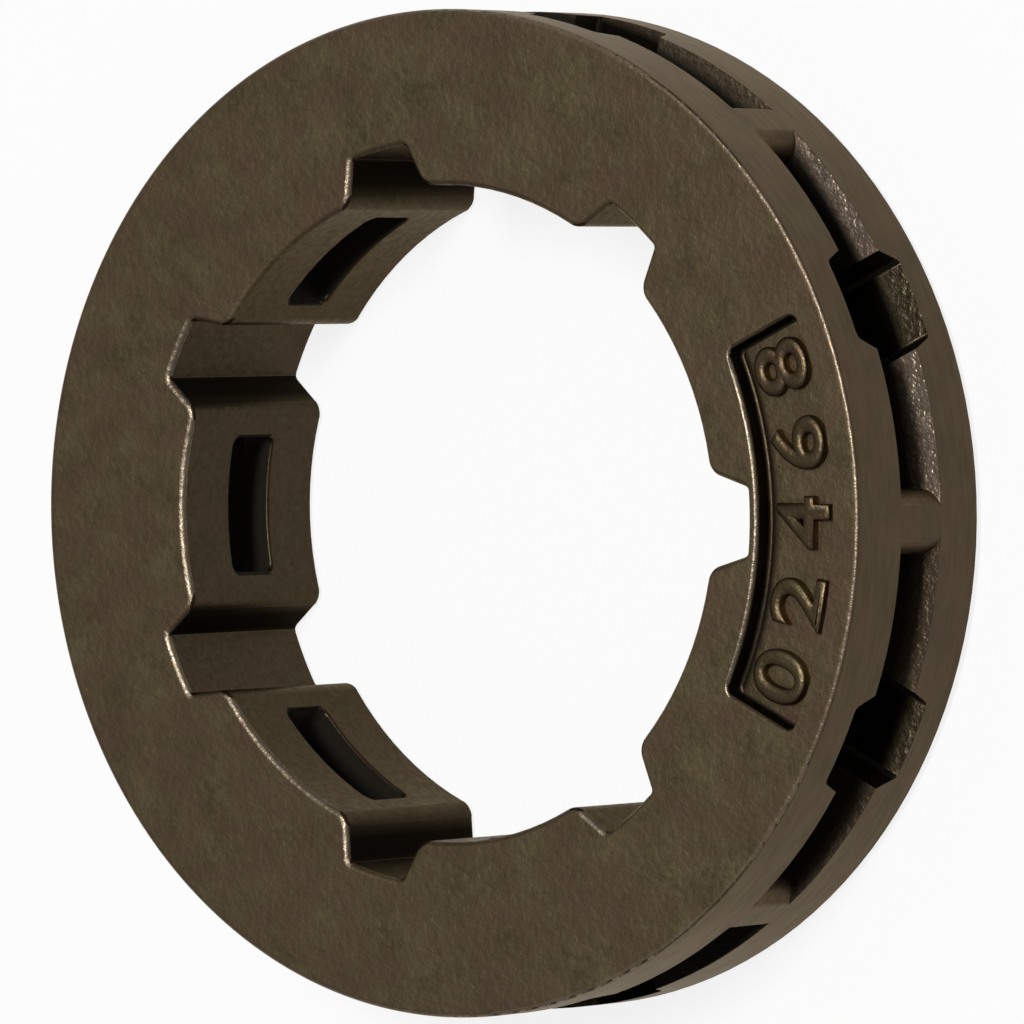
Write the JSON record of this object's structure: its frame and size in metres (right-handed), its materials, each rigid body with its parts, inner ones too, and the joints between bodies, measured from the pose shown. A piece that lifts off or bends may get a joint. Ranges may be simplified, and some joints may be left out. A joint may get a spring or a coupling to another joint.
{
  "type": "chainsaw rim sprocket",
  "caption": "Cast steel ring that drives a saw chain: drive link pockets between two rails, windows into a splined bore that slides on the clutch drum, and a sunken number panel.",
  "frame": {"origin": "centre of the bore, on the back face that the ring lies on", "axes": "+Z along the bore towards the front face with the number panel, +X through the middle of the panel and the groove under it"},
  "size_m": [0.0366, 0.0366, 0.0079],
  "materials": {
    "cast_steel": "as cast, matte dark brown, with a finely turned rim"
  },
  "bodies": {
    "root": {"rim_sprocket": "cast_steel"}
  },
  "joints": []
}
